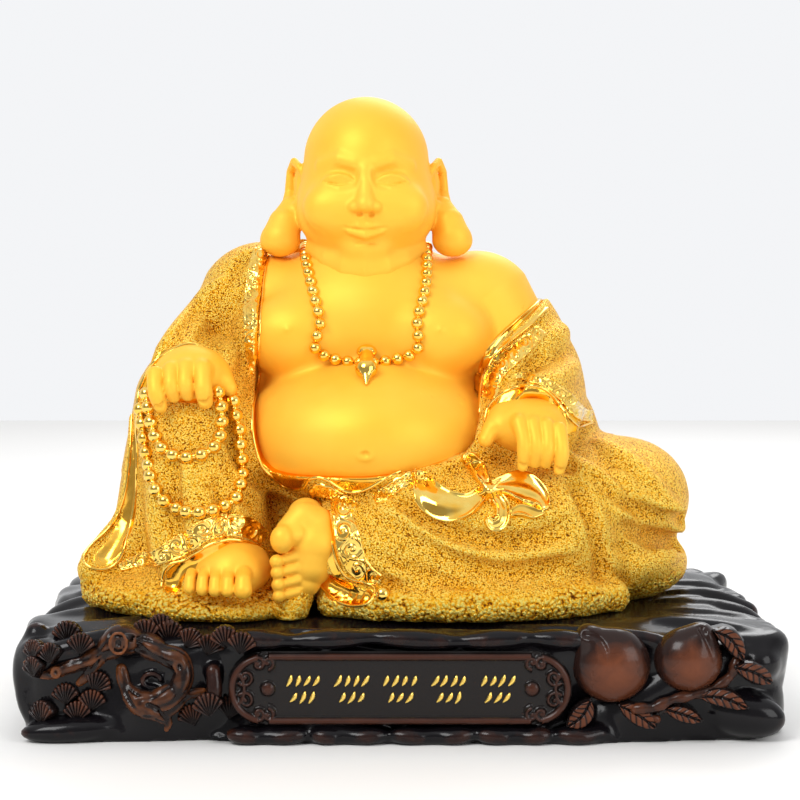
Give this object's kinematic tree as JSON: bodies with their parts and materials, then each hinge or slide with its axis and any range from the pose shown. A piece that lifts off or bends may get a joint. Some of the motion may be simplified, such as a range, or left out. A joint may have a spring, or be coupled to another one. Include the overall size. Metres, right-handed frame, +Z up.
{
  "type": "budai figure",
  "caption": "Gilded seated budai with prayer beads, resting on a dark carved rock plinth with a plaque, a pine branch and peaches.",
  "frame": {"origin": "centre of the plinth's flat underside", "axes": "+Z up, the figure faces -Y, +X towards the folded knee at the viewer's right"},
  "size_m": [0.4338, 0.2852, 0.3587],
  "materials": {
    "satin_gold": "satin gold plating over cast resin",
    "dark_lacquer": "dark brown lacquer rubbed back on the raised carving"
  },
  "bodies": {
    "root": {"figure": "satin_gold", "plinth": "dark_lacquer"}
  },
  "joints": []
}
